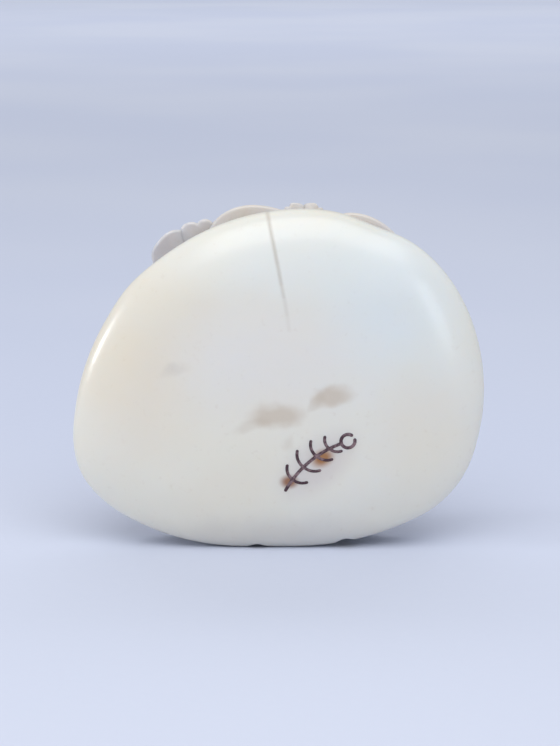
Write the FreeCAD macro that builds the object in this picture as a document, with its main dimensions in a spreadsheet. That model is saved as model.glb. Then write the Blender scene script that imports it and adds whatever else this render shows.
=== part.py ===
"""A carved toggle button: a flat, polished back slab pegged to a domed front block, with carved
blooms, leaves and stems tenoned into the front, dark horn beads, an inlaid mark, and a U-shaped
cord channel.

Frame: millimetres, X to the right and +Z up as the button stands on its lower edge. The back face
looks along -Y, its centre is the origin, and the carved front looks along +Y.
"""
import FreeCAD, Part
import math
import os

import Sketcher
from FreeCAD import Placement, Rotation, Vector

doc = FreeCAD.newDocument("toggle_button")

# ------------------------------------------------------------------------------------------------
# Driving dimensions, in millimetres and degrees
# ------------------------------------------------------------------------------------------------
SIZES = [
    # The outline runs anticlockwise, seen from the back, from the right end of the flat it stands on.
    ("foot_flat", 5.0),
    ("foot_middle", -1.05),
    ("foot_level", -17.57),
    ("foot_right_radius", 29.0),
    ("foot_right_sweep", 27.0),
    ("corner_right_radius", 11.1),
    ("corner_right_sweep", 45.0),
    ("side_right_radius", 21.3),
    ("side_right_sweep", 42.0),
    ("shoulder_radius", 17.0),
    ("shoulder_sweep", 49.0),
    ("crown_radius", 21.3),
    ("crown_sweep", 20.5),
    ("side_left_radius", 23.9),
    ("side_left_sweep", 82.5),
    ("corner_left_sweep", 64.0),
    # Back slab
    ("slab_depth", 7.0),
    ("back_round", 3.9),
    ("seam_bevel", 0.4),
    ("recess_margin", 3.4),
    ("recess_depth", 1.2),
    # Front block
    ("front_inset", 0.6),
    ("spigot_gap", 0.05),
    ("dome_top", 12.8),
    ("dome_radius", 56.0),
    ("dome_edge_round", 0.9),
    ("socket_floor", 8.4),
    # Dowels between the two
    ("dowel_radius", 1.2),
    ("dowel_spread", 18.0),
    ("dowel_height", 1.5),
    ("dowel_back", 3.0),
    ("dowel_front", 8.2),
    ("dowel_bevel", 0.3),
    # Cord channel: two straight legs joined by a half turn
    ("cord_radius", 1.3),
    ("cord_spread", 9.0),
    ("cord_middle", 2.3),
    ("cord_depth", 3.7),
    ("cord_turn_level", -6.4),
    # Inlaid mark
    ("mark_x", 3.6),
    ("mark_z", -7.5),
    ("mark_tilt", 40.0),
    ("mark_depth", 0.28),
    ("mark_sink", 0.05),
    ("mark_stroke", 0.36),
    # Carved pieces on the dome
    ("relief_floor", 7.5),
    ("tenon_radius", 0.75),
    ("tenon_pull", 0.94),
    ("petal_thickness", 1.15),
    ("bead_radius", 0.3),
    ("plug_depth", 1.6),
    ("leaf_rise", 1.2),
    ("leaf_crown", 10.5),
    ("midrib_radius", 0.2),
    ("stem_radius", 0.65),
]

sheet = doc.addObject("Spreadsheet::Sheet", "sizes")
for row, (alias, value) in enumerate(SIZES, start=1):
    sheet.set(f"A{row}", alias)
    sheet.set(f"B{row}", str(value))
    sheet.setAlias(f"B{row}", alias)
doc.recompute()


def size(alias):
    """The value of one cell of the sheet."""
    return float(getattr(sheet, alias))


FAR = 60.0  # further than any part of the button reaches


# ------------------------------------------------------------------------------------------------
# The outline: a short flat and eight tangent arcs
# ------------------------------------------------------------------------------------------------
ARCS = ["foot_right", "corner_right", "side_right", "shoulder", "crown", "side_left",
        "corner_left", "foot_left"]
FREE_ARCS = 2  # the last two radii are what closes the outline


def unit_step(heading, sweep):
    """The end of an arc of radius 1 that starts at the origin along heading and turns left."""
    end = heading + sweep
    return Vector(math.sin(end) - math.sin(heading), math.cos(heading) - math.cos(end), 0)


def arc_table():
    """[(heading, sweep, radius)] for each arc, with the last sweep and two radii solved."""
    sweeps = [math.radians(size(a + "_sweep")) for a in ARCS[:-1]]
    sweeps.append(2 * math.pi - sum(sweeps))
    headings = [sum(sweeps[:i]) for i in range(len(ARCS))]
    radii = [size(a + "_radius") for a in ARCS[:-FREE_ARCS]]
    reached = Vector(size("foot_flat"), 0, 0)
    for heading, sweep, radius in zip(headings, sweeps, radii):
        reached += unit_step(heading, sweep) * radius
    a = unit_step(headings[-2], sweeps[-2])
    b = unit_step(headings[-1], sweeps[-1])
    area = a.x * b.y - a.y * b.x
    radii.append((-reached.x * b.y + reached.y * b.x) / area)
    radii.append((-reached.y * a.x + reached.x * a.y) / area)
    return list(zip(headings, sweeps, radii))


def draw_outline(sketch, inset_aliases=(), on_the_floor=False):
    """Draws the outline in sketch, moved inwards by the sum of the named cells, and then, if it
    is to stand on the floor, down again by as much."""
    inset = sum(size(a) for a in inset_aliases)
    rise = 0 if on_the_floor else inset
    less = "".join(f" - sizes.{a}" for a in inset_aliases)
    plus = "".join(f" + sizes.{a}" for a in inset_aliases)
    half = size("foot_flat") / 2
    left = Vector(size("foot_middle") - half, size("foot_level") + rise, 0)
    point = left + Vector(2 * half, 0, 0)
    sketch.addGeometry(Part.LineSegment(left, point))
    for heading, sweep, radius in arc_table():
        radius -= inset
        centre = point + Vector(-math.sin(heading), math.cos(heading), 0) * radius
        start = heading - math.pi / 2
        circle = Part.Circle(centre, Vector(0, 0, 1), radius)
        sketch.addGeometry(Part.ArcOfCircle(circle, start, start + sweep))
        point += unit_step(heading, sweep) * radius

    last = len(ARCS)
    sketch.addConstraint(Sketcher.Constraint("Horizontal", 0))
    for i in range(last):
        sketch.addConstraint(Sketcher.Constraint("Tangent", i, 2, i + 1, 1))
    sketch.addConstraint(Sketcher.Constraint("Coincident", last, 2, 0, 1))
    for i, arc in enumerate(ARCS[:-FREE_ARCS], start=1):
        n = sketch.addConstraint(Sketcher.Constraint("Radius", i, arc_table()[i - 1][2] - inset))
        sketch.setExpression(f"Constraints[{n}]", f"sizes.{arc}_radius{less}")
    for i, arc in enumerate(ARCS[:-1], start=1):
        n = sketch.addConstraint(Sketcher.Constraint("Angle", i, arc_table()[i - 1][1]))
        sketch.setExpression(f"Constraints[{n}]", f"sizes.{arc}_sweep * 1 deg")
    n = sketch.addConstraint(Sketcher.Constraint("DistanceX", 0, 1, 0, 2, 2 * half))
    sketch.setExpression(f"Constraints[{n}]", "sizes.foot_flat")
    n = sketch.addConstraint(Sketcher.Constraint("DistanceX", -1, 1, 0, 1, left.x))
    sketch.setExpression(f"Constraints[{n}]", "sizes.foot_middle - sizes.foot_flat / 2")
    n = sketch.addConstraint(Sketcher.Constraint("DistanceY", -1, 1, 0, 1, left.y))
    sketch.setExpression(f"Constraints[{n}]", f"sizes.foot_level{plus if rise else ''}")


# ------------------------------------------------------------------------------------------------
# Helpers for bodies and booleans
# ------------------------------------------------------------------------------------------------
def new_body(name):
    return doc.addObject("PartDesign::Body", name)


def plane(body, role):
    """One of the body's own origin planes."""
    return next(f for f in body.Origin.OriginFeatures if f.Role == role)


def sketch_on(body, role, name, offset=None):
    """A sketch on an origin plane of body, moved along the plane's normal by an expression."""
    sketch = body.newObject("Sketcher::SketchObject", name)
    sketch.AttachmentSupport = [(plane(body, role), "")]
    sketch.MapMode = "FlatFace"
    if offset:
        sketch.setExpression("AttachmentOffset.Base.z", offset)
    return sketch


def circle_at(sketch, x, y, radius_alias, x_formula=None, y_formula=None):
    """A circle whose radius, and centre where a formula is given, follow the sheet."""
    radius = size(radius_alias)
    n = sketch.addGeometry(Part.Circle(Vector(x, y, 0), Vector(0, 0, 1), radius))
    c = sketch.addConstraint(Sketcher.Constraint("Radius", n, radius))
    sketch.setExpression(f"Constraints[{c}]", f"sizes.{radius_alias}")
    for kind, value, formula in (("DistanceX", x, x_formula), ("DistanceY", y, y_formula)):
        c = sketch.addConstraint(Sketcher.Constraint(kind, -1, 1, n, 3, value))
        if formula:
            sketch.setExpression(f"Constraints[{c}]", formula)
    return n


def pad(body, sketch, name, length, reverse=False):
    feature = body.newObject("PartDesign::Pad", name)
    feature.Profile = sketch
    feature.setExpression("Length", length)
    feature.Reversed = reverse
    return feature


def pocket(body, sketch, name, length, reverse=False):
    """A pocket that must take material away."""
    before = body.Shape.Volume
    feature = body.newObject("PartDesign::Pocket", name)
    feature.Profile = sketch
    feature.setExpression("Length", length)
    feature.Reversed = reverse
    doc.recompute()
    if body.Shape.Volume >= before:
        raise RuntimeError(f"{name} cut nothing")
    return feature


def edge_names(shape, test):
    """The names of the edges whose middle point passes the test."""
    found = []
    for i, edge in enumerate(shape.Edges, start=1):
        first, last = edge.ParameterRange
        if test(edge.valueAt((first + last) / 2)):
            found.append(f"Edge{i}")
    return found


def dressed(body, kind, base, names, name, value_name, value):
    """A fillet or chamfer of the named edges."""
    feature = body.newObject(f"PartDesign::{kind}", name)
    feature.Base = (base, names)
    feature.setExpression(value_name, value)
    doc.recompute()
    return feature


def cut(name, base, tool):
    feature = doc.addObject("Part::Cut", name)
    feature.Base = base
    feature.Tool = tool
    return feature


def fuse(name, shapes):
    feature = doc.addObject("Part::MultiFuse", name)
    feature.Shapes = shapes
    return feature


def cylinder(name, base, direction, radius, height):
    """A Part cylinder with its lower end at base, and radius and height as expressions."""
    feature = doc.addObject("Part::Cylinder", name)
    feature.setExpression("Radius", radius)
    feature.setExpression("Height", height)
    feature.Placement = Placement(base, Rotation(Vector(0, 0, 1), direction))
    return feature


FORWARDS = Vector(0, 1, 0)  # from the back face towards the carved front
UP = Vector(0, 0, 1)

nodes = {}  # label of each sub-part: the object that holds its finished shape


# ------------------------------------------------------------------------------------------------
# Back slab: the flat polished back with its wide rounded rim
# ------------------------------------------------------------------------------------------------
def slab_body():
    """The slab with the rounded rim, the recess for the front's spigot and the dowel holes."""
    body = new_body("slab_body")
    face = sketch_on(body, "XZ_Plane", "slab_outline")
    draw_outline(face)
    block = pad(body, face, "slab_block", "sizes.slab_depth", reverse=True)
    doc.recompute()
    rim = edge_names(block.Shape, lambda p: abs(p.y) < 0.01)
    rounded = dressed(body, "Fillet", block, rim, "slab_rim", "Radius", "sizes.back_round")
    seam = edge_names(rounded.Shape, lambda p: abs(p.y - size("slab_depth")) < 0.01)
    dressed(body, "Chamfer", rounded, seam, "slab_seam", "Size", "sizes.seam_bevel")

    recess = sketch_on(body, "XZ_Plane", "recess_outline", "-sizes.slab_depth")
    draw_outline(recess, ("recess_margin",))
    doc.recompute()
    pocket(body, recess, "recess", "sizes.recess_depth", reverse=True)

    holes = sketch_on(body, "XZ_Plane", "slab_dowel_holes", "-sizes.slab_depth")
    for side in (-1, 1):
        circle_at(holes, side * size("dowel_spread") / 2, size("dowel_height"), "dowel_radius",
                  f"{side} * sizes.dowel_spread / 2", "sizes.dowel_height")
    doc.recompute()
    pocket(body, holes, "slab_dowel_seats", "sizes.slab_depth - sizes.dowel_back", reverse=True)
    return body


def cord_channel():
    """The space the cord takes: up one leg, round a half turn and down the other."""
    middle, half, depth = size("cord_middle"), size("cord_spread") / 2, size("cord_depth")
    turn = doc.addObject("Part::Torus", "cord_turn")
    turn.setExpression("Radius1", "sizes.cord_spread / 2")
    turn.setExpression("Radius2", "sizes.cord_radius")
    turn.Angle3 = 180
    turn.Placement = Placement(Vector(middle, depth, size("cord_turn_level")),
                               Rotation(Vector(1, 0, 0), 90))
    start = size("foot_level") - 1
    legs = [cylinder(f"cord_leg_{name}", Vector(middle + side * half, depth, start), UP,
                     "sizes.cord_radius", "sizes.cord_turn_level - sizes.foot_level + 1")
            for name, side in (("left", -1), ("right", 1))]
    return fuse("cord_channel", [turn, *legs])


def crack():
    """A drying crack that narrows from the top of the rim to the middle of the back. Each section
    is (x, z, depth of its tip, width at the back face)."""
    sections = [(-1.30, 18.30, 5.60, 0.52), (-0.95, 14.60, 0.95, 0.24),
                (0.25, 9.20, 0.55, 0.17), (1.25, 6.00, 0.12, 0.05)]
    outside = -0.2
    wires = []
    for x, z, depth, width in sections:
        half = width / 2
        corners = [Vector(x - half, outside, z), Vector(x + half, outside, z), Vector(x, depth, z)]
        wires.append(Part.makePolygon(corners + corners[:1]))
    feature = doc.addObject("Part::Feature", "crack")
    feature.Shape = Part.makeLoft(wires, True, True)
    return feature


def stroke(sketch, centre, radius, start, end, width):
    """Adds one closed, round-ended engraved stroke along an arc, with angles in degrees."""
    first, last = math.radians(start), math.radians(end)
    normal = Vector(0, 0, 1)
    half = width / 2

    def on_arc(angle, r=radius):
        return centre + Vector(math.cos(angle), math.sin(angle), 0) * r

    sketch.addGeometry(Part.ArcOfCircle(Part.Circle(centre, normal, radius + half), first, last))
    sketch.addGeometry(Part.ArcOfCircle(Part.Circle(centre, normal, radius - half), first, last))
    cap = Part.Circle(on_arc(last), normal, half)
    sketch.addGeometry(Part.ArcOfCircle(cap, last, last + math.pi))
    cap = Part.Circle(on_arc(first), normal, half)
    sketch.addGeometry(Part.ArcOfCircle(cap, first + math.pi, first + 2 * math.pi))


def flat_on_back(name, x, z, turn):
    """A sketch in the plane of the back face, with its own X axis at turn degrees from +X."""
    sketch = doc.addObject("Sketcher::SketchObject", name)
    sketch.Placement = Placement(Vector(x, 0, z), Rotation(Vector(1, 0, 0), 90)
                                 * Rotation(Vector(0, 0, 1), turn))
    return sketch


def mark_sketches():
    """A twig with paired leaves and a round bud. The stem, the leaves above it with the bud, and
    the leaves below it each have a sketch, because the strokes of one sketch may not cross."""
    width = size("mark_stroke")
    bend, bow = Vector(-0.45, -10.5, 0), 10.5
    sketches = [flat_on_back(name, size("mark_x"), size("mark_z"), size("mark_tilt"))
                for name in ("mark_stem", "mark_leaves_above", "mark_leaves_below")]
    stroke(sketches[0], bend, bow, 70, 112, width)
    stroke(sketches[1], Vector(3.80, -0.88, 0), 0.71, 20, 330, width)
    for along, reach in ((-3.1, 1.43), (-1.4, 1.65), (0.35, 1.54), (1.85, 1.2)):
        foot = bend + Vector(along - bend.x, math.sqrt(bow ** 2 - (along - bend.x) ** 2), 0)
        for sketch, side, leave, settle in ((sketches[1], 1, 104, 38), (sketches[2], -1, -84, -22)):
            centre = foot + Vector(math.sin(math.radians(leave)),
                                   -math.cos(math.radians(leave)), 0) * (side * reach)
            first, last = sorted((leave + 90 * side, settle + 90 * side))
            stroke(sketch, centre, reach, first, last, width * 0.9)
    return sketches


def prism(name, profile, forwards, start=None):
    """A sketch made solid by extruding it along +Y, from the given depth."""
    feature = doc.addObject("Part::Extrusion", name)
    feature.Base = profile
    feature.DirMode = "Custom"
    feature.Dir = FORWARDS
    feature.Solid = True
    feature.setExpression("LengthFwd", forwards)
    if start is not None:
        feature.Placement = Placement(FORWARDS * start, Rotation())
    return feature


slab = slab_body()
channel = cord_channel()
split = crack()
strokes = mark_sketches()
grooves = fuse("mark_grooves", [prism(f"{sketch.Name}_groove", sketch, "sizes.mark_depth")
                                for sketch in strokes])
tools = fuse("slab_tools", [channel, split])
nodes["back_slab"] = cut("back_slab", cut("slab_with_channel", slab, tools), grooves)
nodes["mark_infill"] = fuse("mark_infill", [
    prism(f"{sketch.Name}_fill", sketch, "sizes.mark_depth - sizes.mark_sink", size("mark_sink"))
    for sketch in strokes])


# ------------------------------------------------------------------------------------------------
# Front block: a slightly smaller outline on the same floor, a low dome in front, a spigot behind
# ------------------------------------------------------------------------------------------------
def dome_level(x, z):
    """How far forward the dome's surface stands at (x, z)."""
    radius = size("dome_radius")
    return size("dome_top") - radius + math.sqrt(radius ** 2 - x ** 2 - z ** 2)


def dome_sketch(body):
    """The region above the dome's curve, to be turned round the Y axis."""
    sketch = sketch_on(body, "XY_Plane", "dome_profile")
    top, radius, reach = size("dome_top"), size("dome_radius"), 30.0
    edge = Vector(reach, dome_level(reach, 0), 0)
    apex = Vector(0, top, 0)
    start = math.atan2(edge.y - (top - radius), reach)
    arc = Part.ArcOfCircle(Part.Circle(Vector(0, top - radius, 0), Vector(0, 0, 1), radius),
                           start, math.pi / 2)
    sketch.addGeometry(arc)
    corners = [apex, Vector(0, FAR, 0), Vector(reach, FAR, 0), edge]
    for a, b in zip(corners, corners[1:]):
        sketch.addGeometry(Part.LineSegment(a, b))
    for (i, i_end), (j, j_end) in (((0, 2), (1, 1)), ((1, 2), (2, 1)), ((2, 2), (3, 1)),
                                   ((3, 2), (0, 1))):
        sketch.addConstraint(Sketcher.Constraint("Coincident", i, i_end, j, j_end))
    n = sketch.addConstraint(Sketcher.Constraint("Radius", 0, radius))
    sketch.setExpression(f"Constraints[{n}]", "sizes.dome_radius")
    sketch.addConstraint(Sketcher.Constraint("PointOnObject", 0, 3, -2))
    sketch.addConstraint(Sketcher.Constraint("PointOnObject", 0, 2, -2))
    n = sketch.addConstraint(Sketcher.Constraint("DistanceY", -1, 1, 0, 2, top))
    sketch.setExpression(f"Constraints[{n}]", "sizes.dome_top")
    return sketch


def front_body():
    """The domed block with its spigot."""
    body = new_body("front_body")
    face = sketch_on(body, "XZ_Plane", "front_outline", "-sizes.slab_depth")
    draw_outline(face, ("front_inset",), on_the_floor=True)
    pad(body, face, "front_solid", "sizes.dome_top - sizes.slab_depth + 1", reverse=True)
    doc.recompute()
    profile = dome_sketch(body)
    dome = body.newObject("PartDesign::Groove", "dome")
    dome.Profile = profile
    dome.ReferenceAxis = (profile, ["V_Axis"])
    dome.Angle = 360
    doc.recompute()

    seam = edge_names(dome.Shape, lambda p: abs(p.y - size("slab_depth")) < 0.01)
    bevelled = dressed(body, "Chamfer", dome, seam, "front_seam", "Size", "sizes.seam_bevel")
    rim = edge_names(bevelled.Shape, lambda p: abs(p.y - dome_level(p.x, p.z)) < 0.01)
    dressed(body, "Fillet", bevelled, rim, "front_rim", "Radius", "sizes.dome_edge_round")

    foot = sketch_on(body, "XZ_Plane", "spigot_outline", "-sizes.slab_depth")
    draw_outline(foot, ("recess_margin", "spigot_gap"))
    pad(body, foot, "spigot", "sizes.recess_depth - sizes.spigot_gap")
    doc.recompute()
    return body


front = front_body()


# ------------------------------------------------------------------------------------------------
# Carved pieces: petals, leaves and stems that sit on the dome, each held by a round tenon
# ------------------------------------------------------------------------------------------------
dome_centre = Vector(0, size("dome_top") - size("dome_radius"), 0)


def normal_at(x, z):
    """The dome's outward direction at (x, z)."""
    return (Vector(x, dome_level(x, z), z) - dome_centre).normalize()


def on_dome(x, z, rise):
    """The point that stands rise off the dome at (x, z)."""
    return Vector(x, dome_level(x, z), z) + normal_at(x, z) * rise


def ball(name, centre, radius):
    feature = doc.addObject("Part::Sphere", name)
    feature.Radius = radius
    feature.Placement.Base = centre
    return feature


def petal(name, centre, axis, radius, thickness):
    """A round petal with a thin edge: what two large balls have in common."""
    bulge = (radius ** 2 + thickness ** 2 / 4) / thickness
    feature = doc.addObject("Part::Common", name)
    feature.Base = ball(f"{name}_above", centre - axis * (bulge - thickness / 2), bulge)
    feature.Tool = ball(f"{name}_below", centre + axis * (bulge - thickness / 2), bulge)
    return feature


def petal_ring(name, x, z, count, reach, radius, rise, lean, turn):
    """Petals round the dome's normal at (x, z), with their outer edges lifted by lean degrees."""
    normal = normal_at(x, z)
    across = normal.cross(UP).normalize()
    petals = []
    for i in range(count):
        angle = math.radians(turn) + 2 * math.pi * i / count
        outwards = across * math.cos(angle) + across.cross(normal) * math.sin(angle)
        tilt = math.radians(lean)
        axis = normal * math.cos(tilt) - outwards * math.sin(tilt)
        petals.append(petal(f"{name}_{i + 1}", on_dome(x, z, rise) + outwards * reach, axis,
                            radius, size("petal_thickness")))
    return petals


def tenon(name, x, z):
    """The round tongue that holds a carved piece in its socket, a little nearer the dome's middle
    than the piece is, so that the edge of the block keeps its wall."""
    x, z = x * size("tenon_pull"), z * size("tenon_pull")
    length = dome_level(x, z) + size("leaf_rise") / 2 - size("socket_floor")
    return cylinder(f"{name}_tenon", Vector(x, size("socket_floor"), z), FORWARDS,
                    "sizes.tenon_radius", f"{length}")


def stamens(name, x, z, rise, radius, count):
    """A horn plug along the dome's normal at (x, z), with a ring of beads round one more."""
    normal = normal_at(x, z)
    across = normal.cross(UP).normalize()
    top = on_dome(x, z, rise)
    beads = [ball(f"{name}_bead", top, size("bead_radius"))]
    for i in range(count):
        angle = 2 * math.pi * i / count
        outwards = across * math.cos(angle) + across.cross(normal) * math.sin(angle)
        beads.append(ball(f"{name}_bead{i + 1}", top + outwards * radius, size("bead_radius")))
    plug = cylinder(f"{name}_plug", top, -normal, f"{radius}", "sizes.plug_depth")
    return fuse(name, [plug, *beads])


# Every point of a flower that lies behind this box's front face is cut away.
behind = doc.addObject("Part::Box", "behind_relief")
behind.Length, behind.Height = FAR, FAR
behind.setExpression("Width", f"sizes.relief_floor + {FAR}")
behind.Placement.Base = Vector(-FAR / 2, -FAR, -FAR / 2)

tenons = []
flowers = {}


def flower(name, x, z, core, rings):
    """Rings of petals round a core, less the block under them, with a tenon. The core is
    (radius, rise of its middle); each ring is (count, reach, radius, rise, lean, turn)."""
    lumps = [ball(f"{name}_core", on_dome(x, z, core[1]), core[0])]
    for i, ring in enumerate(rings):
        lumps += petal_ring(f"{name}_ring{i}", x, z, *ring)
    above = cut(f"{name}_above", cut(f"{name}_off_block", fuse(f"{name}_lump", lumps), front),
                behind)
    tongue = tenon(name, x, z)
    tenons.append(tongue)
    return fuse(f"{name}_whole", [above, tongue])


def bloom_rings(scale, turn):
    """Four rings of petals, each higher, closer in and steeper than the last."""
    return [(6, 4.6 * scale, 3.5 * scale, 0.5, 2, turn),
            (5, 3.2 * scale, 2.9 * scale, 1.3, 20, turn + 25),
            (4, 1.9 * scale, 2.1 * scale, 2.0, 40, turn + 50),
            (3, 1.0 * scale, 1.3 * scale, 2.4, 62, turn + 15)]


FLOWERS = {  # name: x, z, core, rings, stamens as (name, rise, ring radius, beads)
    "bloom_upper_left": (-8.0, 7.6, (2.2, 0.3), bloom_rings(1.0, -8),
                         ("stamens_upper_left", 2.6, 0.5, 6)),
    "bloom_lower_right": (8.4, -5.0, (2.1, 0.3), bloom_rings(0.93, 31),
                          ("stamens_lower_right", 2.5, 0.5, 6)),
    "blossom_top": (2.4, 15.2, (1.1, 0.1), [(5, 1.7, 1.6, 0.6, 12, 54)],
                    ("stamens_top", 1.15, 0.45, 5)),
}
for name, (x, z, core, rings, (centre, rise, radius, count)) in FLOWERS.items():
    nodes[centre] = stamens(centre, x, z, rise, radius, count)
    nodes[name] = cut(name, flower(name, x, z, core, rings), nodes[centre])
    flowers[name] = nodes[name]

BUDS = {  # name: x, z, turn of its three petals
    "bud_left": (-12.4, -5.0, 30),
    "bud_right": (14.6, 8.4, 75),
}
for name, (x, z, turn) in BUDS.items():
    nodes[name] = flower(name, x, z, (1.35, 0.9), [(3, 0.75, 1.5, 0.9, 58, turn)])
    flowers[name] = nodes[name]


def leaf(name, x, z, turn, half_length, half_width, under):
    """A pointed leaf with a crowned face and a groove along its midrib, less what overlies it."""
    radius = (half_length ** 2 + half_width ** 2) / (2 * half_width)
    reach = math.asin(half_length / radius)
    outline = flat_on_back(f"{name}_outline", x, z, turn)
    for side in (1, -1):
        middle = math.pi / 2 * side
        circle = Part.Circle(Vector(0, side * (half_width - radius), 0), Vector(0, 0, 1), radius)
        outline.addGeometry(Part.ArcOfCircle(circle, middle - reach, middle + reach))
    centre = on_dome(x, z, size("leaf_rise") - size("leaf_crown"))
    face = ball(f"{name}_crown", centre, size("leaf_crown"))
    face.setExpression("Radius", "sizes.leaf_crown")
    blade = doc.addObject("Part::Common", f"{name}_blade")
    blade.Base, blade.Tool = prism(f"{name}_prism", outline, str(FAR)), face
    midrib = doc.addObject("Part::Torus", f"{name}_midrib")
    midrib.setExpression("Radius1", "sizes.leaf_crown")
    midrib.setExpression("Radius2", "sizes.midrib_radius")
    along = Vector(math.cos(math.radians(turn)), 0, math.sin(math.radians(turn)))
    midrib.Placement = Placement(centre, Rotation(UP, along.cross(normal_at(x, z))))
    piece = cut(f"{name}_grooved", cut(f"{name}_off_dome", blade, dome_ball), midrib)
    for other in under:
        piece = cut(f"{name}_less_{other}", piece, flowers[other])
    tongue = tenon(name, x, z)
    tenons.append(tongue)
    return fuse(name, [piece, tongue])


dome_ball = ball("dome_ball", dome_centre, size("dome_radius"))
dome_ball.setExpression("Radius", "sizes.dome_radius")
dome_ball.Placement.Rotation = Rotation(Vector(1, 0, 0), -90)

LEAVES = {  # name: x, z, turn, half length, half width, the flowers that overlie it
    "leaf_top": (-3.4, 15.2, 8, 4.2, 2.4, ["bloom_upper_left", "blossom_top"]),
    "leaf_upper_right": (10.2, 14.3, -35, 4.5, 2.1, []),
    "leaf_right": (17.2, 1.4, -82, 4.3, 2.2, ["bloom_lower_right"]),
    "leaf_lower_right": (14.4, -10.8, -128, 3.9, 2.1, ["bloom_lower_right"]),
    "leaf_bottom": (3.0, -14.6, 4, 4.4, 1.9, ["bloom_lower_right"]),
    "leaf_lower_left": (-9.8, -11.6, 152, 4.8, 2.5, []),
    "leaf_left": (-17.6, -0.4, 96, 4.6, 2.2, ["bloom_upper_left"]),
    "leaf_inner_left": (-5.4, -4.6, 128, 4.2, 2.1, ["bloom_upper_left"]),
    "leaf_inner_right": (6.6, 7.4, 32, 4.6, 2.2, ["bloom_lower_right", "blossom_top"]),
}
for name, (x, z, turn, half_length, half_width, under) in LEAVES.items():
    nodes[name] = leaf(name, x, z, turn, half_length, half_width, under)


def stem(name, ends_and_middle):
    """A half-round stem along the circle through three points on the dome, with round ends."""
    points = [on_dome(x, z, 0.1) for x, z in ends_and_middle]
    edge = Part.Arc(*points).toShape()
    circle = edge.Curve
    rod = doc.addObject("Part::Torus", f"{name}_rod")
    rod.Radius1 = circle.Radius
    rod.setExpression("Radius2", "sizes.stem_radius")
    rod.Angle3 = math.degrees(edge.LastParameter - edge.FirstParameter)
    first = (points[0] - circle.Center).normalize()
    rod.Placement = Placement(
        circle.Center, Rotation(first, circle.Axis.cross(first), circle.Axis, "ZXY"))
    ends = [ball(f"{name}_end{i}", point, size("stem_radius")) for i, point in ((1, points[0]),
                                                                               (2, points[2]))]
    x, z = ends_and_middle[1]
    tongue = tenon(name, x, z)
    tenons.append(tongue)
    above = cut(f"{name}_above", fuse(f"{name}_rounded", [rod, *ends]), dome_ball)
    return fuse(name, [above, tongue])


STEMS = {
    "stem_lower": ((-1.4, -1.6), (-1.0, -6.6), (-3.6, -12.0)),
    "stem_upper": ((1.2, 10.6), (1.6, 6.2), (0.2, 1.6)),
    "stem_left": ((-8.4, -7.4), (-13.2, -8.4), (-17.0, -7.2)),
}
for name, points in STEMS.items():
    nodes[name] = stem(name, points)

# ------------------------------------------------------------------------------------------------
# Dowels, and the sockets in the front block
# ------------------------------------------------------------------------------------------------
rods = []
for name, side in (("dowel_left", -1), ("dowel_right", 1)):
    base = Vector(side * size("dowel_spread") / 2, size("dowel_back"), size("dowel_height"))
    rod = cylinder(f"{name}_rod", base, FORWARDS, "sizes.dowel_radius",
                   "sizes.dowel_front - sizes.dowel_back")
    rods.append(rod)
    nodes[name] = doc.addObject("Part::Chamfer", name)
    nodes[name].Base = rod
    bevel = size("dowel_bevel")
    nodes[name].Edges = [(1, bevel, bevel), (3, bevel, bevel)]

nodes["front_block"] = cut("front_block", front, fuse("sockets", [*tenons, *rods]))

# ------------------------------------------------------------------------------------------------
# Check everything, then write one STEP file for each sub-part
# ------------------------------------------------------------------------------------------------
doc.recompute()
failed = [o.Name for o in doc.Objects if "Invalid" in o.State or "Error" in o.State]
if failed:
    raise RuntimeError(f"failed objects: {failed}")
for name, node in nodes.items():
    node.Label = name
    if node.Shape.isNull() or not node.Shape.isValid() or len(node.Shape.Solids) != 1:
        raise RuntimeError(f"{name} isn't one valid solid")

os.makedirs("parts", exist_ok=True)
for node in nodes.values():
    node.Shape.exportStep(f"parts/{node.Label}.step")
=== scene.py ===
"""The looks of a carved toggle button: polished back slab, carved front, flowers, leaves, stems."""
import math

import bmesh
import bpy
import numpy as np
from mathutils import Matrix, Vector, noise


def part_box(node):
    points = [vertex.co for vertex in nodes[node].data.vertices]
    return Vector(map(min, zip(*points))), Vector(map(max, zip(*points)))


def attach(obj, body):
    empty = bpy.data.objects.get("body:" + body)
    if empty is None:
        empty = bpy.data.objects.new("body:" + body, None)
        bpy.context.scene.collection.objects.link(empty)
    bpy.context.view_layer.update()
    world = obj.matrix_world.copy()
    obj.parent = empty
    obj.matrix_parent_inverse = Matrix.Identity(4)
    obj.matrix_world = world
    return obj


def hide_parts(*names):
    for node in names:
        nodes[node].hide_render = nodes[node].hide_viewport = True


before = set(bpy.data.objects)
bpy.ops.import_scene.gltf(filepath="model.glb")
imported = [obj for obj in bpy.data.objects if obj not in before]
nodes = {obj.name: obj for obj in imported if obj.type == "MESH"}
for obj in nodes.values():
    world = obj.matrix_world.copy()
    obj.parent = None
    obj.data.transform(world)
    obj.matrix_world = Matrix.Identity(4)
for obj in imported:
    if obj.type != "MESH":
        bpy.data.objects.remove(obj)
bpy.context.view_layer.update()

MM = 0.001  # metres in a millimetre
scene = bpy.context.scene


# ------------------------------------------------------------------------------------------------
# Materials
# ------------------------------------------------------------------------------------------------
def srgb(r, g, b):
    """Linear colour from 8-bit sRGB."""
    def lin(c):
        c /= 255
        return c / 12.92 if c <= 0.04045 else ((c + 0.055) / 1.055) ** 2.4
    return (lin(r), lin(g), lin(b), 1.0)


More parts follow.
